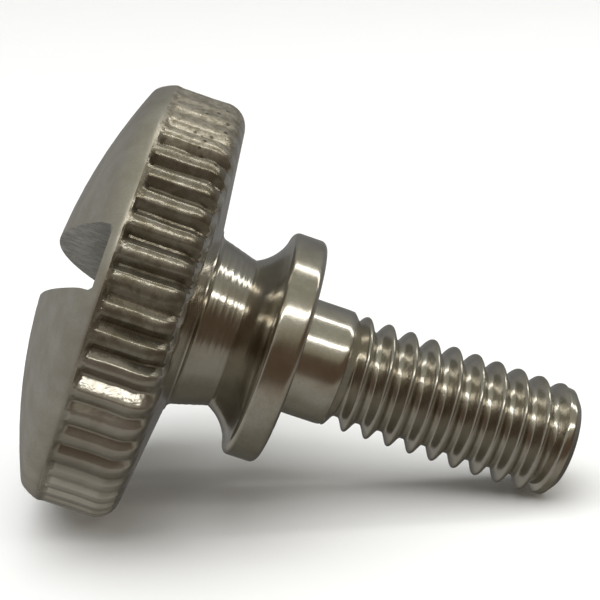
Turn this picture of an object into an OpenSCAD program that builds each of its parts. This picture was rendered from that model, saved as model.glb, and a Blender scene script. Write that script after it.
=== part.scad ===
// Thumb screw turned from one bar: a domed, slotted, knurled head, a waisted neck,
// a clamping collar, a short plain shank and a coarse right-hand thread.
// It lies as it comes to rest, on the back edge of its rim and the end of its thread,
// with the head to -X. The screw itself is drawn upright, its axis on Z and the
// face of the collar that clamps the work at z = 0.

/* [Head] */
// Diameter of the head over the knurl
head_d = 23; // [20:0.1:28]
// Height of the rim, between its corners with the dome and with the back face
rim_h = 4.7; // [3.6:0.1:8]
// Height of the dome above its corner with the rim
dome_h = 2.55; // [1.6:0.05:3.4]
// Radius that eases the corner between dome and rim
dome_edge_r = 1.2; // [0.6:0.1:1.4]
// Radius of the back edge of the rim
back_edge_r = 1.25; // [0.6:0.05:1.6]
// Height that the back face gains from the rim to the neck
back_rise = 0.85; // [0.3:0.05:1.5]

/* [Slot] */
// Width of the coin slot
slot_w = 3.2; // [2:0.1:4]
// Depth of the coin slot below the top of the dome
slot_depth = 2.9; // [1.5:0.1:3.4]
// Turn of the slot about the axis, from the upward direction at rest
slot_angle = -67; // [-90:1:90]

/* [Knurl] */
// Number of grooves around the rim
knurl_count = 51; // [40:1:56]
// Depth of a groove
knurl_depth = 0.42; // [0.25:0.01:0.48]
// Angle between the two flanks of a groove
knurl_angle = 92; // [80:1:96]
// Width of the bottom of a groove
knurl_floor_w = 0.12; // [0.05:0.01:0.16]
// Height of the plain band between the front ends of the grooves and the rim's corner with the dome
knurl_gap = 1.1; // [0.9:0.05:1.5]

/* [Neck] */
// Length of the neck between the collar and the head
neck_l = 3.6; // [3:0.1:6]
// Diameter of the waist
neck_d = 8.2; // [7.8:0.05:9]
// Diameter where the neck meets the head
neck_root_d = 9.2; // [8.4:0.1:10]
// Radius of the fillet under the head
neck_fillet_r = 0.4; // [0.2:0.05:0.6]
// Radius of the hollow that flares out to the collar
flare_r = 2.65; // [2.2:0.05:3]
// Angle that the hollow still has to turn where it runs into the neck
flare_end = 25; // [15:1:35]

/* [Collar] */
// Diameter of the collar
collar_d = 12.5; // [11.8:0.1:13.2]
// Thickness of the collar
collar_h = 1.85; // [1.2:0.05:3]
// Radius of the collar's edges
collar_edge_r = 0.35; // [0.2:0.05:0.5]

/* [Shank and thread] */
// Length below the collar, five eighths of an inch
screw_l = 15.88; // [12:0.01:30]
// Diameter of the plain shank
shank_d = 6.42; // [6.36:0.01:6.7]
// Length of the plain shank
shank_l = 2.6; // [1.5:0.1:4]
// Length over which the shank narrows to the thread root
runout_l = 0.7; // [0.5:0.1:1.2]
// Outside diameter of the thread, a quarter of an inch
thread_d = 6.35; // [6.2:0.01:6.35]
// Pitch of the thread, twenty turns to the inch
thread_pitch = 1.27; // [1.15:0.01:1.4]
// Depth of the thread
thread_depth = 0.66; // [0.5:0.01:0.75]
// Width of the flat on the crest
crest_w = 0.16; // [0.1:0.01:0.25]
// Included angle of the thread
thread_angle = 60; // [55:1:60]
// Turn of the whole thread about the axis
thread_turn = -37; // [-180:1:180]
// Diameter of the plain end of the screw
tip_d = 6.1; // [5.6:0.05:6.2]
// Length of the plain end of the screw
tip_l = 0.9; // [0.7:0.1:2]
// Chamfer at the end of the screw
tip_chamfer = 0.45; // [0.2:0.05:0.6]

/* [Hidden] */

$fn = 96;
// Overlap of parts that are joined, and overshoot of cuts
over = 0.2;
// Corners of the thread's section, layers in one turn of it, and most layers in all
thread_sides = 20;
turn_layers = 18;
most_layers = 280;

head_r = head_d / 2;
neck_root_r = neck_root_d / 2;
hub_z = collar_h + neck_l;
back_corner_z = hub_z + back_rise;
rim_z = back_corner_z + rim_h;
top_z = rim_z + dome_h;
dome_r = (head_r * head_r + dome_h * dome_h) / (2 * dome_h);
dome_z = top_z - dome_r;
// Centre of the easing at the dome's edge, and where it runs into the dome
edge_r = head_r - dome_edge_r;
edge_z = dome_z + sqrt(pow(dome_r - dome_edge_r, 2) - pow(edge_r, 2));
ease_r = dome_r * edge_r / (dome_r - dome_edge_r);
// Slope of the back face, and centre of the rounding between it and the rim
back_slope = atan2(back_rise, head_r - neck_root_r);
back_r = head_r - back_edge_r;
back_z = back_corner_z - back_edge_r * tan(back_slope) + back_edge_r / cos(back_slope);

knurl_floor_r = head_r - knurl_depth;
knurl_mouth_w = knurl_floor_w + 2 * (knurl_depth + over) * tan(knurl_angle / 2);

collar_r = collar_d / 2;
collar_flat_r = collar_r - collar_edge_r;
flare_ring_r = neck_d / 2 + flare_r * cos(flare_end);
flare_z = collar_h + sqrt(pow(flare_r, 2) - pow(flare_ring_r - collar_flat_r, 2));
waist_z = flare_z - flare_r * sin(flare_end);

shank_r = shank_d / 2;
thread_r = thread_d / 2;
root_r = thread_r - thread_depth;
flank_l = thread_depth * tan(thread_angle / 2);
thread_top_z = -shank_l - runout_l / 2;
tip_z = -screw_l + tip_l;
thread_l = thread_top_z - tip_z + over / 2;
turns = thread_l / thread_pitch;
thread_layers = min(most_layers, round(turns * turn_layers));
tip_r = tip_d / 2;
chamfer_z = -screw_l + tip_chamfer;
end_r = tip_r - tip_chamfer;

// Tilt of the axis when the rounded back edge and the chamfer's upper corner both touch the table
span_z = back_z - chamfer_z;
span_r = back_r - tip_r;
rest_tilt = atan2(span_r, span_z) + asin(back_edge_r / norm([span_z, span_r]));
// Extremes of the tilted screw, about the centre of the collar's face
rest_floor = back_z * sin(rest_tilt) - back_r * cos(rest_tilt) - back_edge_r;
rest_left = -dome_z * cos(rest_tilt) - dome_r;
rest_right = screw_l * cos(rest_tilt) + end_r * sin(rest_tilt);

// Radius of the thread's section at an angle from the middle of its crest
function thread_section_r(a) =
    thread_r - thread_depth * max(0, min(1, (thread_pitch * abs(a) / 360 - crest_w / 2) / flank_l));

// Half of the head's section: rim, tapered back face with a rounded edge, and the dome eased into the rim
module head_section() {
    polygon([[0, hub_z], [neck_root_r, hub_z],
        [back_r + back_edge_r * sin(back_slope), back_z - back_edge_r * cos(back_slope)],
        [head_r, back_z], [head_r, edge_z], [0, edge_z]]);
    translate([back_r, back_z])
        circle(r = back_edge_r);
    translate([edge_r, edge_z])
        circle(r = dome_edge_r);
    intersection() {
        translate([0, dome_z])
            circle(r = dome_r, $fn = 4 * $fn);
        translate([0, back_z])
            square([ease_r, top_z - back_z]);
    }
}

// Half of the collar's section, with both edges rounded
module collar_section() {
    square([collar_flat_r, collar_h]);
    translate([0, collar_edge_r])
        square([collar_r, collar_h - 2 * collar_edge_r]);
    for (z = [collar_edge_r, collar_h - collar_edge_r])
        translate([collar_flat_r, z])
            circle(r = collar_edge_r);
}

// Half of the neck's section: a hollow from the collar to the waist, a taper, and the fillet under the head
module neck_section() {
    difference() {
        translate([0, collar_h - over])
            square([collar_flat_r, waist_z - collar_h + over]);
        translate([flare_ring_r, flare_z])
            circle(r = flare_r);
    }
    polygon([[0, waist_z], [neck_d / 2, waist_z], [neck_root_r, hub_z - neck_fillet_r],
        [0, hub_z - neck_fillet_r]]);
    difference() {
        translate([0, hub_z - neck_fillet_r])
            square([neck_root_r + neck_fillet_r, neck_fillet_r + over]);
        translate([neck_root_r + neck_fillet_r, hub_z - neck_fillet_r])
            circle(r = neck_fillet_r);
    }
}

// Half of the section of the shank, where it narrows to the thread, and of the plain end
module shank_section() {
    polygon([[0, over], [shank_r, over], [shank_r, -shank_l], [root_r, -shank_l - runout_l],
        [0, -shank_l - runout_l]]);
    polygon([[0, tip_z], [tip_r, tip_z], [tip_r, chamfer_z], [end_r, -screw_l], [0, -screw_l]]);
}

// One groove of the knurl, from the back edge to the plain band below the dome
module knurl_groove() {
    translate([0, 0, hub_z])
        linear_extrude(rim_z - knurl_gap - hub_z)
            polygon([[knurl_floor_r, -knurl_floor_w / 2], [head_r + over, -knurl_mouth_w / 2],
                [head_r + over, knurl_mouth_w / 2], [knurl_floor_r, knurl_floor_w / 2]]);
}

// Right-hand helical thread, with its core
module thread() {
    translate([0, 0, thread_top_z - thread_l])
        rotate([0, 0, thread_turn])
            linear_extrude(thread_l, twist = -360 * turns, slices = thread_layers, segments = thread_sides)
                polygon([for (i = [0:thread_sides - 1])
                    let (a = 360 * i / thread_sides - 180)
                    thread_section_r(a) * [cos(a), sin(a)]]);
}

// The whole screw, upright
module upright_screw() {
    difference() {
        rotate_extrude() {
            head_section();
            neck_section();
            collar_section();
            shank_section();
        }
        for (k = [0:knurl_count - 1])
            rotate([0, 0, 180 + 360 * k / knurl_count])
                knurl_groove();
        rotate([0, 0, slot_angle])
            translate([-head_d, -slot_w / 2, top_z - slot_depth])
                cube([2 * head_d, slot_w, slot_depth + over]);
    }
    thread();
}

module thumb_screw() {
    color([0.62, 0.60, 0.55])
        translate([-(rest_left + rest_right) / 2, 0, -rest_floor])
            rotate([0, rest_tilt - 90, 0])
                upright_screw();
}

thumb_screw();
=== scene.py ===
"""Looks of the turned thumb screw: knurled, slotted head, neck, collar, shank and thread in plated metal."""

import math

import bmesh
import bpy
import numpy as np
from mathutils import Matrix, Vector


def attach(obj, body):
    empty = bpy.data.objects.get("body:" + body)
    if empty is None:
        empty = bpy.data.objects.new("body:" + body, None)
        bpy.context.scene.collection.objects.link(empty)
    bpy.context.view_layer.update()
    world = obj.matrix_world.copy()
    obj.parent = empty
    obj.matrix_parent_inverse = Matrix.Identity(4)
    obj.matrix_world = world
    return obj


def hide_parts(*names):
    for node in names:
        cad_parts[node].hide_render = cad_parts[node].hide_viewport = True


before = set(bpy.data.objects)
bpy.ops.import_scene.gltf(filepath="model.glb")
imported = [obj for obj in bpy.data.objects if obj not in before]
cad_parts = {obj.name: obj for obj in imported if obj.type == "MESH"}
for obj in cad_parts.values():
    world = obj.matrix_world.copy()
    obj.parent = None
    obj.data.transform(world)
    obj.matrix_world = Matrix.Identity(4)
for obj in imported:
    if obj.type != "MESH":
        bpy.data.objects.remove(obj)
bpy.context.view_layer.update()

# Driving sizes in millimetres, as in the CAD source. The screw is built upright: axis on Z,
# the collar's clamping face at z = 0, the head above it and the thread below it.
HEAD_R, RIM_H, DOME_H, EDGE_FILLET = 11.5, 4.7, 2.55, 1.2
BACK_FILLET, BACK_RISE = 1.25, 0.85
SLOT_W, SLOT_DEPTH, SLOT_TURN = 3.2, 2.9, math.radians(-67)
TEETH = 51
NECK_L, WAIST_R, NECK_ROOT_R, NECK_FILLET = 3.6, 4.1, 4.6, 0.4
FLARE_R, FLARE_END = 2.65, math.radians(25)
COLLAR_R, COLLAR_H, COLLAR_FILLET = 6.25, 1.85, 0.35
SCREW_L, SHANK_R, SHANK_L, RUNOUT_L = 15.88, 3.21, 2.6, 0.7
THREAD_R, THREAD_DEPTH, PITCH, CREST_W = 3.175, 0.66, 1.27, 0.16
THREAD_TURN, THREAD_HALF_ANGLE = -37.0, math.radians(30)
TIP_R, TIP_L, TIP_CHAMFER = 3.05, 0.9, 0.45

# Places that follow from the driving sizes
HUB_Z = COLLAR_H + NECK_L
BACK_CORNER_Z = HUB_Z + BACK_RISE
TOP_Z = BACK_CORNER_Z + RIM_H + DOME_H
DOME_R = (HEAD_R ** 2 + DOME_H ** 2) / (2 * DOME_H)
DOME_Z = TOP_Z - DOME_R
EDGE_R = HEAD_R - EDGE_FILLET
RIM_TOP_Z = DOME_Z + math.sqrt((DOME_R - EDGE_FILLET) ** 2 - EDGE_R ** 2)
EASE_R = DOME_R * EDGE_R / (DOME_R - EDGE_FILLET)
BACK_SLOPE = math.atan2(BACK_RISE, HEAD_R - NECK_ROOT_R)
BACK_R = HEAD_R - BACK_FILLET
BACK_Z = BACK_CORNER_Z - BACK_FILLET * math.tan(BACK_SLOPE) + BACK_FILLET / math.cos(BACK_SLOPE)
SLOT_FLOOR_Z = TOP_Z - SLOT_DEPTH
COLLAR_FLAT_R = COLLAR_R - COLLAR_FILLET
FLARE_RING_R = WAIST_R + FLARE_R * math.cos(FLARE_END)
FLARE_Z = COLLAR_H + math.sqrt(FLARE_R ** 2 - (FLARE_RING_R - COLLAR_FLAT_R) ** 2)
WAIST_Z = FLARE_Z - FLARE_R * math.sin(FLARE_END)
FILLET_Z = HUB_Z - NECK_FILLET
ROOT_R = THREAD_R - THREAD_DEPTH
RUNOUT_Z = -SHANK_L - RUNOUT_L
THREAD_TOP_Z = -SHANK_L - RUNOUT_L / 2
END_Z = -SCREW_L
TIP_Z = END_Z + TIP_L
THREAD_OVERLAP = 0.1
THREAD_END_Z = TIP_Z - THREAD_OVERLAP
CHAMFER_Z = END_Z + TIP_CHAMFER
END_R = TIP_R - TIP_CHAMFER

# How it lies: the rounded back edge and the chamfer's upper corner both touch the floor
REST_SPAN = (BACK_R - TIP_R, BACK_Z - CHAMFER_Z)
REST_TILT = math.atan2(*REST_SPAN) + math.asin(BACK_FILLET / math.hypot(*REST_SPAN))
REST_LEFT = -DOME_Z * math.cos(REST_TILT) - DOME_R
REST_RIGHT = SCREW_L * math.cos(REST_TILT) + END_R * math.sin(REST_TILT)
REST_X = -(REST_LEFT + REST_RIGHT) / 2
REST_Z = BACK_R * math.cos(REST_TILT) + BACK_FILLET - BACK_Z * math.sin(REST_TILT)

MM = 0.001
LYING = Matrix.Translation((REST_X * MM, 0, REST_Z * MM)) @ Matrix.Rotation(REST_TILT - math.pi / 2, 4, "Y")
rng = np.random.default_rng(51)


def arc(centre_r, centre_z, radius, start, end, count):
    """Points of a circle in the (r, z) half plane, angles in degrees from the outward direction."""
    a = np.radians(np.linspace(start, end, count))
    return np.column_stack([centre_r + radius * np.cos(a), centre_z + radius * np.sin(a)])


def straight(p, q, count):
    """Evenly spaced points from p up to but not including q."""
    t = np.linspace(0, 1, count, endpoint=False)[:, None]
    return np.array(p) * (1 - t) + np.array(q) * t


def wander(count, reach, turns, scale):
    """One smooth random function of a length for each item of a list: rows of sines with seeded phases."""
    waves = np.arange(1, turns + 1)
    size = rng.normal(size=(count, turns)) / waves
    phase = rng.uniform(0, 2 * np.pi, size=(count, turns))
    return lambda s: scale * (size[:, None, :] * np.sin(
        2 * np.pi * waves * (s[None, :, None] / reach) + phase[:, None, :])).sum(2)


def uneven(spread, low, high):
    """One random departure for each tooth, within limits."""
    return np.clip(rng.normal(0, spread, TEETH), low, high)


def both_sides(half):
    """Values from the rim of a groove to its middle, and back up its other side."""
    return np.concatenate([half, half[::-1]])


def sheet_faces(rows, cols):
    """Quads of a grid of rows that closes on itself along each row."""
    i, j = np.meshgrid(np.arange(rows - 1), np.arange(cols), indexing="ij")
    k = (j + 1) % cols
    return np.stack([i * cols + j, (i + 1) * cols + j, (i + 1) * cols + k, i * cols + k], -1).reshape(-1, 4)


def outward(mesh):
    """Turns all faces of a closed mesh to the outside."""
    work = bmesh.new()
    work.from_mesh(mesh)
    bmesh.ops.recalc_face_normals(work, faces=work.faces)
    work.to_mesh(mesh)
    work.free()


def make_mesh(name, points, faces):
    """A mesh of points in millimetres."""
    mesh = bpy.data.meshes.new(name)
    mesh.from_pydata([tuple(p) for p in points * MM], [], [tuple(int(v) for v in f) for f in faces])
    outward(mesh)
    return mesh


def place_object(name, data):
    made = bpy.data.objects.new(name, data)
    bpy.context.scene.collection.objects.link(made)
    return made


def capped(rings, z_first, z_last):
    """Points and faces of a stack of rings, with a fan from the axis at each end."""
    rows, cols = rings.shape[:2]
    points = np.vstack([rings.reshape(-1, 3), [[0, 0, z_first], [0, 0, z_last]]])
    faces = [tuple(f) for f in sheet_faces(rows, cols)]
    first, last = rows * cols, rows * cols + 1
    for j in range(cols):
        k = (j + 1) % cols
        faces.append((first, j, k))
        faces.append((last, (rows - 1) * cols + k, (rows - 1) * cols + j))
    return points, faces


def revolved(profile, cols):
    """Points and faces of a profile of (r, z) rows turned about the axis, closed at both ends on the axis."""
    a = np.linspace(0, 2 * np.pi, cols, endpoint=False)
    r, z = profile[:, 0:1], profile[:, 1:2]
    rings = np.stack([r * np.cos(a), r * np.sin(a), z + 0 * a], -1)
    return capped(rings, profile[0, 1], profile[-1, 1])


# Head: dome, eased edge, rim, rounded back edge and tapered back face
DOME_RINGS_R, EDGE_RINGS_R, CAP_DROP = (1.0, 9.4), (9.9, EASE_R), 0.01
dome_r = np.concatenate([np.linspace(*DOME_RINGS_R, 9), np.linspace(*EDGE_RINGS_R, 5)])
dome = np.column_stack([dome_r, DOME_Z + np.sqrt(DOME_R ** 2 - dome_r ** 2)])
edge_start = math.degrees(math.atan2(RIM_TOP_Z - DOME_Z, EDGE_R))
edge = arc(EDGE_R, RIM_TOP_Z, EDGE_FILLET, edge_start, 0, 13)[1:]
# The eased edge meets the rim at a lip, a little inside the full rounding
LIP_Z, FLAT_FROM_Z, FLAT_DEPTH, FLAT_SKEW = 9.92, 11.25, 0.10, 0.35
flatter = np.clip(FLAT_FROM_Z - edge[:, 1], 0, 1)
edge[:, 0] -= FLAT_DEPTH * np.sin(np.pi * flatter) * (1 - FLAT_SKEW * flatter)
# The rim lies slightly inside the full radius. Its rows are closest at the lip, where the grooves end.
RIM_SINK, SINK_FROM_Z, SINK_SPAN = 0.03, 10.14, 0.15
rim_rows = np.array([10.12, 10.02, 9.95, 9.87, 9.79, 9.71, 9.52, 9.2, 8.85, 8.5, 8.15, 7.8])
rim_inset = RIM_SINK * np.clip((SINK_FROM_Z - rim_rows) / SINK_SPAN, 0, 1) ** 2
rim = np.column_stack([HEAD_R - rim_inset, rim_rows])
rim[-1, 0] = HEAD_R - RIM_SINK / 2
back_edge = arc(BACK_R, BACK_Z, BACK_FILLET, 0, math.degrees(BACK_SLOPE) - 90, 15)
# The back face runs on into the neck, where it is closed
HUB_INSET, HUB_DROP = 0.7, 0.086
back_face = straight(tuple(back_edge[-1]), (NECK_ROOT_R - HUB_INSET, HUB_Z - HUB_DROP), 6)[1:]
head_profile = np.vstack([dome, edge, rim, back_edge, back_face])
head_r, head_z = head_profile[:, 0], head_profile[:, 1]
# How far round the back edge each row lies, in degrees, and the outward direction there
round_back = np.degrees(np.arctan2(np.maximum(BACK_Z - head_z, 0), np.maximum(head_r - BACK_R, 1e-6)))
out_r, out_z = np.cos(np.radians(round_back)), -np.sin(np.radians(round_back))

# Knurl: offsets of the columns of one groove from its middle, in millimetres along the rim, and how deep
# they lie, which is the rounded crest beside the groove and the groove itself
half_offsets = np.array([0.66, 0.58, 0.50, 0.43, 0.385, 0.34, 0.055])
offsets = np.concatenate([-half_offsets, half_offsets[::-1]])
CREST_R, CREST_HALF, CREST_SLOPE = 0.86, 0.28, 0.344
from_crest = math.pi * HEAD_R / TEETH - half_offsets
crest = CREST_R - np.sqrt(CREST_R ** 2 - np.minimum(from_crest, CREST_HALF) ** 2)
crest += CREST_SLOPE * np.maximum(from_crest - CREST_HALF, 0)
vee = np.array([0, 0, 0, 0, 0.008, 0.035, 0.237])

# Each tooth departs a little: its place, the depth and width of its groove, its lean and where it ends
shift = uneven(0.02, -0.03, 0.03)
share = 1 + uneven(0.06, -0.12, 0.1)
width = 1 + uneven(0.03, -0.05, 0.05)
lean = rng.normal(0, 0.06, TEETH)
lip = LIP_Z + rng.normal(0, 0.045, TEETH)
# One wide groove has a long upper flank that flashes. The grooves near it and at the top have set depths.
FLASH = 12
lean[FLASH], width[FLASH], shift[FLASH] = 0.0, 1.06, 0.02
flash_vee = np.array([0, 0.012, 0.075, 0.142, 0.185, 0.228, 0.50])
SET_SHARES = {9: 0.6, 10: 0.5, 11: 0.55, 13: 1.0, 14: 0.9, 15: 0.55, 16: 1.1, 17: 1.0, 18: 1.0,
              22: 0.35, 23: 0.15, 24: 0.1, 25: 0.1, 26: 0.2}
for tooth, part in SET_SHARES.items():
    share[tooth] = part
# Worn teeth at the top and the bottom have flatter crests
TOP_TEETH, BOTTOM_TEETH = slice(22, 28), slice(3, 9)
crest_share = np.ones(TEETH)
crest_share[TOP_TEETH] = 0.4
crest_share[BOTTOM_TEETH] = 0.5
share[BOTTOM_TEETH] *= 0.45
deep = crest_share[:, None] * both_sides(crest) + share[:, None] * both_sides(vee)
deep[FLASH] = both_sides(flash_vee)

# Columns lean within the groove, and those that would reach into the next tooth are squeezed together
GROOVE_HALF, COLUMN_HALF, SQUEEZE, SQUEEZE_EASE = 0.43, 0.64, 0.03, 0.1
# Grooves start at the lip and fade out round the back edge, over spans in millimetres and in degrees
FRONT_START, FRONT_SPAN, FRONT_CURVE, BACK_STOP, BACK_SPAN = 0.14, 0.26, 0.8, 84, 45
s = head_z - BACK_Z
sway = wander(TEETH, 7.0, 4, 0.016)(s)
dip = wander(TEETH, 5.0, 5, 0.07)(s)
columns, cut = [], []
for t in range(TEETH):
    middle = math.radians(180 + 360 * t / TEETH) * HEAD_R + shift[t] + sway[t]
    inside = np.clip(1 - np.abs(offsets) / GROOVE_HALF, 0, 1)
    place = offsets * width[t] + lean[t] * GROOVE_HALF * inside
    beyond = np.maximum(np.abs(place) - COLUMN_HALF, 0)
    squeezed = SQUEEZE * beyond / (beyond + SQUEEZE_EASE)
    place = np.sign(place) * (np.minimum(np.abs(place), COLUMN_HALF) + squeezed)
    columns.append((middle[:, None] + place[None, :]) / HEAD_R)
    front_end = np.clip((lip[t] + FRONT_START - head_z) / FRONT_SPAN, 0, 1) ** FRONT_CURVE
    back_end = np.clip((BACK_STOP - round_back) / BACK_SPAN, 0, 1)
    here = np.where(head_r > BACK_R, front_end * back_end, 0.0) * (1 + dip[t])
    cut.append(deep[t] * here[:, None])
angles = np.concatenate(columns, 1)
sunk = np.concatenate(cut, 1)
radius = head_r[:, None] - sunk * out_r[:, None]
level = head_z[:, None] - sunk * out_z[:, None]
# Burrs and small dents along the lip
BURR_SEED, BURR_DEPTH, BURR_Z, BURR_SPREAD = 7, 0.045, 9.93, 0.16
burr = np.random.default_rng(BURR_SEED).uniform(0, 1, radius.shape) ** 2
radius -= BURR_DEPTH * burr * np.exp(-((head_z[:, None] - BURR_Z) / BURR_SPREAD) ** 2)
rings = np.stack([radius * np.cos(angles), radius * np.sin(angles), level], -1)
head_points, head_faces = capped(rings, TOP_Z - CAP_DROP, HUB_Z - HUB_DROP)
head = place_object("head_blank", make_mesh("head_blank", head_points, head_faces))

# The coin slot, cut with a saw of its width. Its bottom corners are eased.
SLOT_EASE, SAW_RISE, SAW_REACH = 0.15, 1.0, 1.3 * HEAD_R
along = np.array([math.cos(SLOT_TURN), math.sin(SLOT_TURN), 0])
across = np.array([-math.sin(SLOT_TURN), math.cos(SLOT_TURN), 0])
section = [(-SLOT_W / 2, TOP_Z + SAW_RISE), (-SLOT_W / 2, SLOT_FLOOR_Z + SLOT_EASE),
           (-SLOT_W / 2 + SLOT_EASE, SLOT_FLOOR_Z), (SLOT_W / 2 - SLOT_EASE, SLOT_FLOOR_Z),
           (SLOT_W / 2, SLOT_FLOOR_Z + SLOT_EASE), (SLOT_W / 2, TOP_Z + SAW_RISE)]
corners = len(section)
saw_points = np.array([end * SAW_REACH * along + w * across + np.array([0, 0, z])
                       for end in (-1, 1) for w, z in section])
saw_faces = [tuple(range(corners)), tuple(range(2 * corners - 1, corners - 1, -1))]
for i in range(corners):
    j = (i + 1) % corners
    saw_faces.append((j, i, corners + i, corners + j))
saw = place_object("slot_saw", make_mesh("slot_saw", saw_points, saw_faces))
slotted = head.modifiers.new("slot", "BOOLEAN")
slotted.operation, slotted.solver, slotted.object = "DIFFERENCE", "EXACT", saw
bpy.context.view_layer.update()
head_mesh = bpy.data.meshes.new_from_object(head.evaluated_get(bpy.context.evaluated_depsgraph_get()))
bpy.data.objects.remove(head)
bpy.data.objects.remove(saw)

# Stem: fillet under the head, neck, flare, collar, plain shank, thread core and end
STEM_COLS = 144
flare_a = math.degrees(math.atan2(WAIST_Z - FLARE_Z, WAIST_R - FLARE_RING_R)) % 360
flare_b = math.degrees(math.atan2(COLLAR_H - FLARE_Z, COLLAR_FLAT_R - FLARE_RING_R)) % 360
# The tool left low steps in the neck's taper, a share of the height that a plain staircase would have
STEP_COUNT, STEP_LEFT, STEP_EDGE, STEP_SINK = 5, 0.3, 0.07, 0.004
TAPER_Z, TAPER_R = (WAIST_Z, FILLET_Z), (WAIST_R, NECK_ROOT_R)
step_shift = np.clip(rng.normal(0, 0.04, STEP_COUNT - 1), -0.07, 0.07)
step_z = np.linspace(FILLET_Z, WAIST_Z, STEP_COUNT + 1) + np.concatenate([[0], step_shift, [0]])
step_r = np.interp(0.5 * (step_z[1:] + step_z[:-1]), TAPER_Z, TAPER_R)
neck_steps = np.vstack([[[r, z0 - STEP_EDGE], [r, 0.5 * (z0 + z1)], [r, z1 + STEP_EDGE]]
                        for r, z0, z1 in zip(step_r, step_z[:-1], step_z[1:])])
taper = np.interp(neck_steps[:, 1], TAPER_Z, TAPER_R)
neck_steps[:, 0] = taper + STEP_LEFT * (neck_steps[:, 0] - taper) - STEP_SINK
# Points inside the head and the thread, which hide the ends of the stem's surface, and eased corners
HIDDEN_TOP = [[3.0, HUB_Z + 0.6], [NECK_ROOT_R + NECK_FILLET + 0.12, HUB_Z + 0.3]]
CORE_R = ROOT_R - 0.2
HIDDEN_CORE = [[CORE_R, RUNOUT_Z - 0.1], [CORE_R, TIP_Z + 0.35], [ROOT_R + 0.1, TIP_Z + 0.22]]
EASE = 0.1
RUNOUT_EASE, RUNOUT_START = [[SHANK_R - 0.02, -SHANK_L - 0.04]], (SHANK_R - 0.08, -SHANK_L - 0.12)
TIP_EASE = [[TIP_R - 0.06, TIP_Z - 0.02], [TIP_R, TIP_Z - EASE]]
CHAMFER_EASE, CHAMFER_START = [[TIP_R - 0.015, CHAMFER_Z - 0.04]], (TIP_R - 0.04, CHAMFER_Z - 0.08)
END_EASE = [[END_R - 0.03, END_Z + 0.005], [END_R - 0.1, END_Z], [0.8, END_Z]]
stem_profile = np.vstack([
    HIDDEN_TOP,
    arc(NECK_ROOT_R + NECK_FILLET, FILLET_Z, NECK_FILLET, 86, 180, 9),
    neck_steps,
    arc(FLARE_RING_R, FLARE_Z, FLARE_R, flare_a, flare_b, 22),
    arc(COLLAR_FLAT_R, COLLAR_H - COLLAR_FILLET, COLLAR_FILLET, 90, 0, 9),
    straight((COLLAR_R, COLLAR_H - COLLAR_FILLET), (COLLAR_R, COLLAR_FILLET), 10)[1:],
    arc(COLLAR_FLAT_R, COLLAR_FILLET, COLLAR_FILLET, 0, -90, 9),
    straight((COLLAR_FLAT_R, 0), (SHANK_R + EASE, 0), 5)[1:],
    arc(SHANK_R + EASE, -EASE, EASE, 90, 180, 5),
    straight((SHANK_R, -EASE), (SHANK_R, -SHANK_L + EASE), 16)[1:],
    RUNOUT_EASE,
    straight(RUNOUT_START, (ROOT_R, RUNOUT_Z), 5),
    HIDDEN_CORE,
    TIP_EASE,
    straight((TIP_R, TIP_Z - EASE), (TIP_R, CHAMFER_Z), 4)[1:],
    CHAMFER_EASE,
    straight(CHAMFER_START, (END_R, END_Z + 0.03), 5),
    END_EASE,
])
stem_points, stem_faces = revolved(stem_profile, STEM_COLS)
stem_mesh = make_mesh("stem", stem_points, stem_faces)

# Thread: rows that follow the helix, so that one turn further a row meets the row one pitch above it
ROWS, COLS = 20, 108
# Section of one ridge, softened
RIDGE_SAMPLES, RIDGE_SOFT = 400, 0.055
flank = THREAD_DEPTH * math.tan(THREAD_HALF_ANGLE)
fine = np.linspace(-0.5, 0.5, RIDGE_SAMPLES + 1)[:-1] * PITCH
ridge = THREAD_R - THREAD_DEPTH * np.clip((np.abs(fine) - CREST_W / 2) / flank, 0, 1)
soft = np.exp(-0.5 * (fine / RIDGE_SOFT) ** 2)
ridge = np.real(np.fft.ifft(np.fft.fft(ridge) * np.fft.fft(np.fft.ifftshift(soft / soft.sum()))))
TOP_RUN = 0.5
steps = int(round((THREAD_TOP_Z + TOP_RUN - THREAD_END_Z) / PITCH * ROWS))
turn_angle = np.arange(COLS + 1)[None, :] * 360.0 / COLS
row_z = THREAD_END_Z - PITCH + PITCH * np.arange(steps + ROWS)[:, None] / ROWS
helix_z = row_z + PITCH * turn_angle / 360
crest_z = THREAD_END_Z + PITCH * (turn_angle - THREAD_TURN) / 360
apart = (helix_z - crest_z + PITCH / 2) % PITCH - PITCH / 2
thread_r = np.interp(apart, fine, ridge, period=PITCH)
# The ridge sinks into the core at the plain end
SUNK_R, SINK_Z, SINK_RUN = ROOT_R - 0.1, THREAD_END_Z - 0.02, 0.12
ends = np.clip((helix_z - SINK_Z) / SINK_RUN, 0, 1)
thread_r = np.minimum(thread_r, SUNK_R + (THREAD_R - SUNK_R) * ends)
# Slight unevenness along the thread and round it
ripple_at = helix_z + 2.1 * turn_angle / 36
thread_r += wander(1, 40.0, 60, 0.0012)(ripple_at.ravel())[0].reshape(helix_z.shape)
thread_r = np.minimum(thread_r, THREAD_R)
LOW_CUT, HIGH_CUT = TIP_Z - 0.2, THREAD_TOP_Z + 0.25
helix_z = np.clip(helix_z, LOW_CUT, HIGH_CUT)
a = np.radians(turn_angle)
thread_points = np.stack([thread_r * np.cos(a), thread_r * np.sin(a), helix_z], -1)
count = len(helix_z)
thread_faces = []
for i in range(count - 1):
    for j in range(COLS):
        if j < COLS - 1:
            quad = (i * COLS + j, i * COLS + j + 1, (i + 1) * COLS + j + 1, (i + 1) * COLS + j)
        elif i + 1 + ROWS < count:
            quad = (i * COLS + j, (i + ROWS) * COLS, (i + 1 + ROWS) * COLS, (i + 1) * COLS + j)
        else:
            continue
        thread_faces.append(quad)
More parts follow.
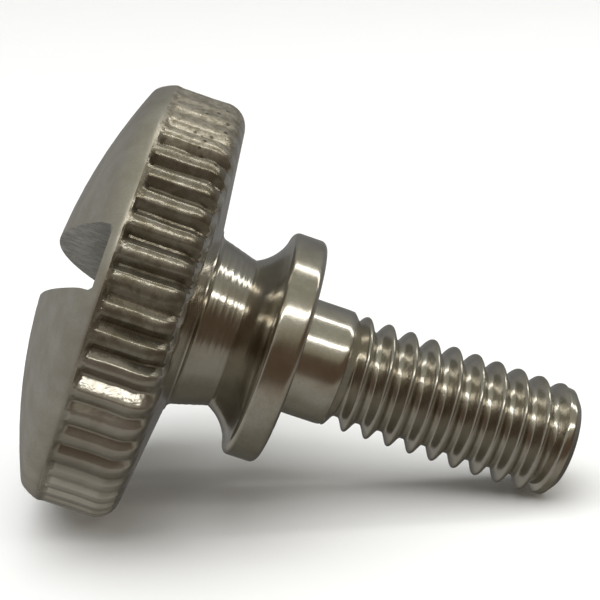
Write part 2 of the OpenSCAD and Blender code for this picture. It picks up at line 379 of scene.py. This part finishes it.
thread_mesh = make_mesh("thread", thread_points[:, :COLS].reshape(-1, 3), thread_faces)


# Materials. Those of the metal read the screw's own coordinates, in millimetres.
def nodes_of(material):
    material.use_nodes = True
    material.node_tree.nodes.clear()
    return material.node_tree


def feed(tree, socket, value):
    """Links a socket to another node's output, or sets its value."""
    if isinstance(value, bpy.types.NodeSocket):
        tree.links.new(value, socket)
    else:
        socket.default_value = value


def input_of(node, key):
    """An input by its number, where the key is the letter i and digits, or by its name."""
    if key[0] == "i" and key[1:].isdigit():
        return node.inputs[int(key[1:])]
    return node.inputs[key.replace("_", " ")]


def add(tree, kind, settings=None, **sockets):
    made = tree.nodes.new("ShaderNode" + kind)
    for key, value in (settings or {}).items():
        setattr(made, key, value)
    for key, value in sockets.items():
        feed(tree, input_of(made, key), value)
    return made


def math_node(tree, operation, a, b=0.0, c=0.0):
    return add(tree, "Math", {"operation": operation}, i0=a, i1=b, i2=c).outputs[0]


def times(tree, a, b):
    return math_node(tree, "MULTIPLY", a, b)


def plus(tree, a, b):
    return math_node(tree, "ADD", a, b)


def span(tree, value, low, high, to_low, to_high):
    """A smooth change from one value to another while the input goes from low to high."""
    smooth = {"interpolation_type": "SMOOTHSTEP"}
    return add(tree, "MapRange", smooth, i0=value, i1=low, i2=high, i3=to_low, i4=to_high).outputs[0]


def mix_colour(tree, factor, first, second):
    made = tree.nodes.new("ShaderNodeMix")
    made.data_type = "RGBA"
    for number, value in ((0, factor), (6, first), (7, second)):
        feed(tree, made.inputs[number], value)
    return made.outputs[2]


def noise(tree, vector, scale, detail, rough):
    made = add(tree, "TexNoise", Vector=vector, Scale=scale, Detail=detail, Roughness=rough)
    return made.outputs["Fac"]


def screw_space(tree):
    """The upright screw's own coordinates in millimetres, from where it lies."""
    lying = add(tree, "TexCoord").outputs["Object"]
    return add(tree, "Mapping", {"vector_type": "TEXTURE"}, Vector=lying,
               Location=(REST_X * MM, 0, REST_Z * MM), Rotation=(0, REST_TILT - math.pi / 2, 0),
               Scale=(MM, MM, MM)).outputs[0]


def from_axis(tree, vector):
    """Distance from the screw's axis."""
    flat = add(tree, "VectorMath", {"operation": "MULTIPLY"}, i0=vector, i1=(1, 1, 0)).outputs[0]
    return add(tree, "VectorMath", {"operation": "LENGTH"}, i0=flat).outputs["Value"]


def surface(tree, **sockets):
    """The shader and the output of a material."""
    shader = add(tree, "BsdfPrincipled", **sockets)
    tree.links.new(shader.outputs[0], add(tree, "OutputMaterial").inputs["Surface"])


def bumped(tree, height, depth, **below):
    """A bump of a depth in millimetres."""
    return add(tree, "Bump", Strength=1.0, Distance=depth * MM, Height=height, **below).outputs[0]


# Among these tones, those of the rim's grooves, bottom and top, and of the slot's depth are painted shade and
# light.
BRIGHT, BROWN, GRAIN_TONE = (0.66, 0.635, 0.575, 1), (0.54, 0.50, 0.43, 1), (0.45, 0.42, 0.36, 1)
DULL_TONE, GROOVE_SHADE_TONE, PIT_TONE = (0.205, 0.18, 0.13, 1), (0.15, 0.125, 0.085, 1), (0.08, 0.065, 0.05, 1)
BOTTOM_REFLECTION_TONE, TOP_LIT_DARK, TOP_LIT_PALE = (0.88, 0.85, 0.78, 1), (0.37, 0.33, 0.255, 1), (0.62, 0.57, 0.475, 1)
SAWN_PALE, SAWN_DARK = (0.88, 0.875, 0.85, 1), (0.58, 0.575, 0.55, 1)
SAWN_PIT, SLOT_SHADE_TONE = (0.12, 0.12, 0.12, 1), (0.3, 0.29, 0.27, 1)
# Stretches of the rim over which its tones change, in the screw's coordinates: X points up where it lies. The
# shade in the grooves, the lighter bottom and the lighter top are painted light; the shine and the wear
# change only the roughness.
GROOVE_SHADE_REACH = (HEAD_R - 0.17, HEAD_R - 0.07)
GROOVE_SHADE_FROM, GROOVE_SHADE_TO, DULL_FROM = (-0.5, 1.4), (9.4, 10.4), (-0.5, 0.5)
BOTTOM_REFLECTION_TO, TOP_LIT_FROM = (-7.4, -6.0), (9.2, 10.2)
PITS_FROM_X, PITS_TO_Y, PITS_FROM_Z, PITS_TO_Z = (9.0, 9.5), (-1.4, -0.6), (6.6, 7.0), (8.8, 9.2)
SHINE_TO, WORN_FROM = (-0.5, 0.8), (8.8, 10.0)


def rim_colour(tree, place, at, colour):
    """Tones of the rim: dark patches on its upper half, painted shade in the grooves, a painted reflection
    that lightens its bottom, painted light in a mottled tone on its top, and pits.
    """
    dull = span(tree, noise(tree, place, 1.4, 3.0, 0.6), 0.42, 0.60, 0.58, 0.92)
    dull = times(tree, dull, span(tree, at["X"], *DULL_FROM, 0.0, 1.0))
    colour = mix_colour(tree, dull, colour, DULL_TONE)
    # Painted shade: the grooves darken towards their bottoms, from about the middle of the rim to its top
    # where it lies, weaker at the top.
    groove_shade = span(tree, from_axis(tree, place), *GROOVE_SHADE_REACH, 0.35, 0.0)
    groove_shade = times(tree, groove_shade, span(tree, at["X"], *GROOVE_SHADE_FROM, 0.0, 1.0))
    groove_shade = times(tree, groove_shade, span(tree, at["X"], *GROOVE_SHADE_TO, 1.0, 0.2))
    colour = mix_colour(tree, groove_shade, colour, GROOVE_SHADE_TONE)
    # Painted reflection: the bottom of the rim, where it lies, is lightened.
    colour = mix_colour(tree, span(tree, at["X"], *BOTTOM_REFLECTION_TO, 0.85, 0.0), colour, BOTTOM_REFLECTION_TONE)
    # Painted light: the top of the rim, where it lies, takes a mottled tone that is lighter than the rim
    # below it.
    mottle = span(tree, noise(tree, place, 2.4, 3.0, 0.6), 0.40, 0.60, 0.0, 1.0)
    pale = mix_colour(tree, mottle, TOP_LIT_DARK, TOP_LIT_PALE)
    colour = mix_colour(tree, span(tree, at["X"], *TOP_LIT_FROM, 0.0, 0.8), colour, pale)
    # Round pits in some of the cells of a pattern, on one patch near the top
    cells = add(tree, "TexVoronoi", Vector=place, Scale=2.0)
    pits = span(tree, cells.outputs["Distance"], 0.16, 0.28, 0.85, 0.0)
    chosen = add(tree, "SeparateXYZ", i0=cells.outputs["Color"]).outputs["X"]
    pits = times(tree, pits, span(tree, chosen, 0.20, 0.25, 0.0, 1.0))
    pits = times(tree, pits, span(tree, at["X"], *PITS_FROM_X, 0.0, 1.0))
    pits = times(tree, pits, span(tree, at["Y"], *PITS_TO_Y, 1.0, 0.0))
    pits = times(tree, pits, span(tree, at["Z"], *PITS_FROM_Z, 0.0, 1.0))
    pits = times(tree, pits, span(tree, at["Z"], *PITS_TO_Z, 1.0, 0.0))
    return mix_colour(tree, pits, colour, PIT_TONE)


def plated(name, rough, rough_swing, ring_scale, ring_depth, grain_depth, grain_scale=9.0,
           shade=1.0, metal=1.0, by_radius=False, knurled=False):
    """Plated turned metal: warm grey with slight tarnish, rings left by the tool, and a fine grain."""
    material = bpy.data.materials.new(name)
    tree = nodes_of(material)
    place = screw_space(tree)
    at = add(tree, "SeparateXYZ", i0=place).outputs
    ring_at = from_axis(tree, place) if by_radius else at["Z"]
    ring_vector = add(tree, "CombineXYZ", X=times(tree, ring_at, ring_scale), Y=0.37, Z=0.11).outputs[0]
    rings = noise(tree, ring_vector, 1.0, 3.0, 0.65)
    tarnish = noise(tree, place, 0.55, 4.0, 0.6)
    grain = noise(tree, place, grain_scale, 3.0, 0.5)
    bright, brown = [tuple(shade * c for c in tone[:3]) + (1,) for tone in (BRIGHT, BROWN)]
    colour = mix_colour(tree, span(tree, tarnish, 0.32, 0.7, 0.0, 1.0), bright, brown)
    colour = mix_colour(tree, span(tree, grain, 0.3, 0.75, 0.0, 0.25), colour, GRAIN_TONE)
    roughness = plus(tree, rough - 0.5 * rough_swing, times(tree, grain, rough_swing))
    roughness = plus(tree, roughness, times(tree, rings, 0.06))
    if knurled:
        colour = rim_colour(tree, place, at, colour)
        # The lower teeth keep more of their shine, and the worn ones at the top are duller
        roughness = plus(tree, roughness, span(tree, at["X"], *SHINE_TO, -0.07, 0.0))
        roughness = plus(tree, roughness, span(tree, at["X"], *WORN_FROM, 0.0, 0.05))
    bump = bumped(tree, grain, grain_depth, Normal=bumped(tree, rings, ring_depth))
    surface(tree, Base_Color=colour, Metallic=metal, Roughness=roughness, Normal=bump)
    return material


def sawn(name):
    """The walls of the slot: duller, mottled, pitted, and darker towards the floor, which is painted shade.
    """
    material = bpy.data.materials.new(name)
    tree = nodes_of(material)
    place = screw_space(tree)
    blotch = noise(tree, place, 1.6, 4.0, 0.62)
    speck = noise(tree, place, 5.5, 4.0, 0.7)
    pits = span(tree, speck, 0.57, 0.68, 0.0, 1.0)
    colour = mix_colour(tree, span(tree, blotch, 0.3, 0.68, 0.0, 1.0), SAWN_PALE, SAWN_DARK)
    colour = mix_colour(tree, times(tree, pits, 0.75), colour, SAWN_PIT)
    depth_at = add(tree, "SeparateXYZ", i0=place).outputs["Z"]
    # Painted shade: the walls darken towards the slot's floor.
    slot_shade = span(tree, depth_at, SLOT_FLOOR_Z - 0.1, SLOT_FLOOR_Z + 1.7, 0.5, 0.0)
    colour = mix_colour(tree, slot_shade, colour, SLOT_SHADE_TONE)
    height = math_node(tree, "SUBTRACT", times(tree, blotch, 0.6), times(tree, pits, 0.6))
    height = plus(tree, height, times(tree, speck, 0.4))
    surface(tree, Base_Color=colour, Metallic=0.7, Roughness=span(tree, blotch, 0.3, 0.7, 0.42, 0.6),
            Normal=bumped(tree, height, 0.12))
    return material


finishes = [
    plated("dome_satin", rough=0.36, rough_swing=0.10, ring_scale=9.0, ring_depth=0.003, grain_depth=0.002,
           by_radius=True),
    plated("knurl_plated", rough=0.22, rough_swing=0.20, ring_scale=2.0, ring_depth=0.002, grain_depth=0.0160,
           grain_scale=3.6, shade=0.78, metal=0.78, knurled=True),
    plated("turned_plated", rough=0.14, rough_swing=0.06, ring_scale=9.0, ring_depth=0.0055,
           grain_depth=0.0010),
    plated("thread_plated", rough=0.205, rough_swing=0.16, ring_scale=1.0, ring_depth=0.002,
           grain_depth=0.0085, grain_scale=3.6, shade=0.88),
    sawn("slot_sawn"),
    plated("neck_plated", rough=0.13, rough_swing=0.08, ring_scale=4.2, ring_depth=0.022, grain_depth=0.0008,
           shade=0.86),
]
DOME, KNURL, TURNED, THREAD, SAWN, NECK = range(len(finishes))


def of_faces(mesh, what):
    """A vector of each face of a mesh."""
    values = np.zeros(len(mesh.polygons) * 3)
    mesh.polygons.foreach_get(what, values)
    return values.reshape(-1, 3)


# Where one finish of the head or the stem gives way to the next
DOME_FROM_Z, BACK_FACE_Z, BACK_FACING, SLOT_SLACK = LIP_Z + 0.22, BACK_Z - 0.9, -0.6, 0.003
NECK_FROM_Z, NECK_TO_Z = COLLAR_H + 0.25, HUB_Z - 0.05


def part_of_head(mesh):
    """Which finish each face of the head takes, from where it lies."""
    centre, normal = of_faces(mesh, "center") / MM, of_faces(mesh, "normal")
    kind = np.full(len(centre), KNURL)
    kind[(centre[:, 2] > DOME_FROM_Z) & (normal[:, 2] > 0)] = DOME
    kind[(centre[:, 2] < BACK_FACE_Z) & (normal[:, 2] < BACK_FACING)] = TURNED
    between = np.abs(centre @ across) < SLOT_W / 2 + SLOT_SLACK
    kind[between & (centre[:, 2] > SLOT_FLOOR_Z - SLOT_SLACK)] = SAWN
    return kind


def part_of_stem(mesh):
    """The neck keeps the ripples of its form tool; the rest of the stem is turned smooth."""
    level = of_faces(mesh, "center")[:, 2] / MM
    return np.where((level > NECK_FROM_Z) & (level < NECK_TO_Z), NECK, TURNED)


def gather(parts):
    """Points, faces and finishes of several meshes as one."""
    points, faces, kinds = [], [], []
    base = 0
    for mesh, kind in parts:
        co = np.zeros(len(mesh.vertices) * 3)
        mesh.vertices.foreach_get("co", co)
        points.append(co.reshape(-1, 3))
        faces += [tuple(base + v for v in p.vertices) for p in mesh.polygons]
        kinds.append(np.broadcast_to(kind, len(mesh.polygons)))
        base += len(mesh.vertices)
    return np.vstack(points), faces, np.concatenate(kinds)


# The whole screw is one piece
points, faces, kinds = gather([(head_mesh, part_of_head(head_mesh)), (stem_mesh, part_of_stem(stem_mesh)),
                               (thread_mesh, THREAD)])
screw_mesh = bpy.data.meshes.new("plated_screw")
screw_mesh.from_pydata([tuple(p) for p in points], [], faces)
screw_mesh.transform(LYING)
for finish in finishes:
    screw_mesh.materials.append(finish)
screw_mesh.polygons.foreach_set("material_index", kinds.astype(np.int32))
screw_mesh.polygons.foreach_set("use_smooth", np.ones(len(faces), bool))
# Edges of the head break at a smaller angle, because its groove bottoms are sharp
HEAD_BREAK, STEM_BREAK = math.radians(25), math.radians(38)
work = bmesh.new()
work.from_mesh(screw_mesh)
for line in work.edges:
    on_head = min(v.index for v in line.verts) < len(head_mesh.vertices)
    line.smooth = line.calc_face_angle(0.0) < (HEAD_BREAK if on_head else STEM_BREAK)
work.to_mesh(screw_mesh)
work.free()
screw_mesh.update()
screw = place_object("plated_screw", screw_mesh)
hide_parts("thumb_screw")
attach(screw, "root")

# Stage: a pale floor that rises into a wall all round, in metres. The metal does not mirror it.
FLOOR_IN_R, FLOOR_R, COVE_R, WALL_TOP, FLOOR_COLS = 0.02, 1.2, 0.5, 2.0, 96
cove = np.vstack([straight((FLOOR_IN_R, 0), (FLOOR_R, 0), 12), arc(FLOOR_R, COVE_R, COVE_R, -90, 0, 12),
                  [[FLOOR_R + COVE_R, WALL_TOP]]])
around = np.linspace(0, 2 * np.pi, FLOOR_COLS, endpoint=False)
cove_r, cove_z = cove[:, 0:1], cove[:, 1:2]
cove_rings = np.stack([cove_r * np.cos(around), cove_r * np.sin(around), cove_z + 0 * around], -1)
cove_points = np.vstack([cove_rings.reshape(-1, 3), [[0, 0, 0]]])
cove_faces = [tuple(int(v) for v in f[::-1]) for f in sheet_faces(len(cove), FLOOR_COLS)]
cove_faces += [(len(cove) * FLOOR_COLS, j, (j + 1) % FLOOR_COLS) for j in range(FLOOR_COLS)]
floor_mesh = bpy.data.meshes.new("floor")
floor_mesh.from_pydata([tuple(p) for p in cove_points], [], cove_faces)
outward(floor_mesh)
floor_mesh.polygons.foreach_set("use_smooth", np.ones(len(cove_faces), bool))
floor = place_object("floor", floor_mesh)
PAPER_PALE, PAPER_DARK = (0.885, 0.89, 0.905, 1), (0.87, 0.875, 0.89, 1)
paper = bpy.data.materials.new("pale_paper")
paper_tree = nodes_of(paper)
paper_place = add(paper_tree, "TexCoord").outputs["Object"]
paper_tone = mix_colour(paper_tree, noise(paper_tree, paper_place, 40.0, 3.0, 0.5), PAPER_PALE, PAPER_DARK)
paper_height = add(paper_tree, "SeparateXYZ", i0=paper_place).outputs["Z"]
surface(paper_tree, Base_Color=paper_tone, Roughness=0.9, Emission_Color=(1, 1, 1, 1),
        Emission_Strength=span(paper_tree, paper_height, 0.0, 0.45, 0.0, 0.7))
floor_mesh.materials.append(paper)
floor.visible_glossy = False
floor.visible_shadow = False
floor.visible_diffuse = False

# World: a dim room, darker at eye level in front, read off the bands that the photo's metal shows
world = bpy.data.worlds.new("studio")
bpy.context.scene.world = world
world.use_nodes = True
sky = world.node_tree
sky.nodes.clear()
heading = add(sky, "SeparateXYZ", i0=add(sky, "TexCoord").outputs["Generated"]).outputs


def room(stops):
    """One side of the room: its colour at each elevation in degrees."""
    made = sky.nodes.new("ShaderNodeValToRGB")
    ramp = made.color_ramp
    while len(ramp.elements) < len(stops):
        ramp.elements.new(0.5)
    for element, (elevation, colour) in zip(ramp.elements, stops):
        element.position = (math.sin(math.radians(elevation)) + 1) / 2
        element.color = (*colour, 1)
    sky.links.new(math_node(sky, "MULTIPLY_ADD", heading["Z"], 0.5, 0.5), made.inputs[0])
    return made.outputs[0]


CEILING = (0.36, 0.36, 0.3)
front = room([(-90, (0.16, 0.152, 0.128)), (-74, (0.18, 0.171, 0.143)), (-60, (0.25, 0.24, 0.213)),
              (-45, (0.275, 0.26, 0.23)), (-30, (0.29, 0.27, 0.235)), (-23, (0.25, 0.225, 0.19)),
              (-16, (0.115, 0.088, 0.063)), (0, (0.105, 0.073, 0.05)), (17, (0.11, 0.08, 0.055)),
              (24, (0.24, 0.215, 0.16)), (33, (0.33, 0.31, 0.25)), (58, CEILING), (90, CEILING)])
behind = room([(-90, (0.15, 0.142, 0.118)), (-63, (0.11, 0.105, 0.09)), (-42, (0.085, 0.08, 0.07)),
               (-24, (0.11, 0.105, 0.1)), (-8, (0.24, 0.24, 0.235)), (10, (0.2, 0.2, 0.197)),
               (27, (0.22, 0.22, 0.215)), (41, (0.275, 0.28, 0.255)), (52, (0.33, 0.33, 0.29)),
               (90, CEILING)])
beside = room([(-90, (0.21, 0.2, 0.175)), (-45, (0.315, 0.305, 0.275)), (-20, (0.325, 0.32, 0.305)),
               (10, (0.325, 0.325, 0.315)), (45, (0.36, 0.36, 0.34)), (90, CEILING)])
facing = span(sky, heading["Y"], -0.35, 0.35, 0.0, 1.0)
aside = span(sky, heading["X"], -0.25, -0.6, 0.0, 1.0)
room_light = mix_colour(sky, aside, mix_colour(sky, facing, front, behind), beside)
glow = add(sky, "Background", Color=room_light, Strength=1.0)
sky.links.new(glow.outputs[0], add(sky, "OutputWorld").inputs["Surface"])

# Lamps: two strips that draw the highlights, and a broad soft one for the floor, the shadow and the dull film
STRIP_AWAY, STRIP_L, STRIP_W, STRIP_TONE = 0.4, 0.46, 0.030, (1.0, 0.985, 0.94)
STRIP_AIM = Vector((0, 0, 0.01))


def strip(name, azimuth, elevation, watts):
    """A strip lamp that looks at the screw, its length as nearly along X as it can be."""
    lamp = bpy.data.lights.new(name, "AREA")
    lamp.shape, lamp.size, lamp.size_y, lamp.energy = "RECTANGLE", STRIP_L, STRIP_W, watts
    lamp.color = STRIP_TONE
    made = place_object(name, lamp)
    az, el = math.radians(azimuth), math.radians(elevation)
    toward = Vector((math.sin(az) * math.cos(el), -math.cos(az) * math.cos(el), math.sin(el)))
    side = Vector((1, 0, 0)) - toward * toward.x
    side.normalize()
    turned = Matrix((side, toward.cross(side), toward)).transposed().to_4x4()
    made.matrix_world = Matrix.Translation(STRIP_AIM + toward * STRIP_AWAY) @ turned


strip("front_strip", 32, 46, 0.30)
strip("rear_strip", 118, 59, 0.24)
soft_lamp = bpy.data.lights.new("floor_light", "SUN")
soft_lamp.energy, soft_lamp.angle = 2.6, math.radians(70)
soft_sun = place_object("floor_light", soft_lamp)
soft_sun.rotation_euler = (math.radians(12), math.radians(-14), 0)
soft_sun.visible_glossy = False

# Camera, at the place worked out from the photo's outline
CAMERA_AT = (-0.0008489, -0.072325, 0.0304596)
CAMERA_RIGHT = Vector((0.999763, -0.014777, -0.016041))
CAMERA_UP = Vector((0.019307, 0.257486, 0.966090))
CAMERA_BACK = Vector((-0.010146, -0.966169, 0.257709))
lens = bpy.data.cameras.new("camera")
lens.sensor_width, lens.lens, lens.clip_start, lens.clip_end = 36.0, 84.0, 0.001, 20.0
camera = place_object("camera", lens)
camera_turn = Matrix((CAMERA_RIGHT, CAMERA_UP, CAMERA_BACK)).transposed().to_4x4()
camera.matrix_world = Matrix.Translation(CAMERA_AT) @ camera_turn
bpy.context.scene.camera = camera
bpy.context.scene.view_settings.view_transform = "Standard"

print("triangles", sum(len(p.vertices) - 2 for p in screw_mesh.polygons))
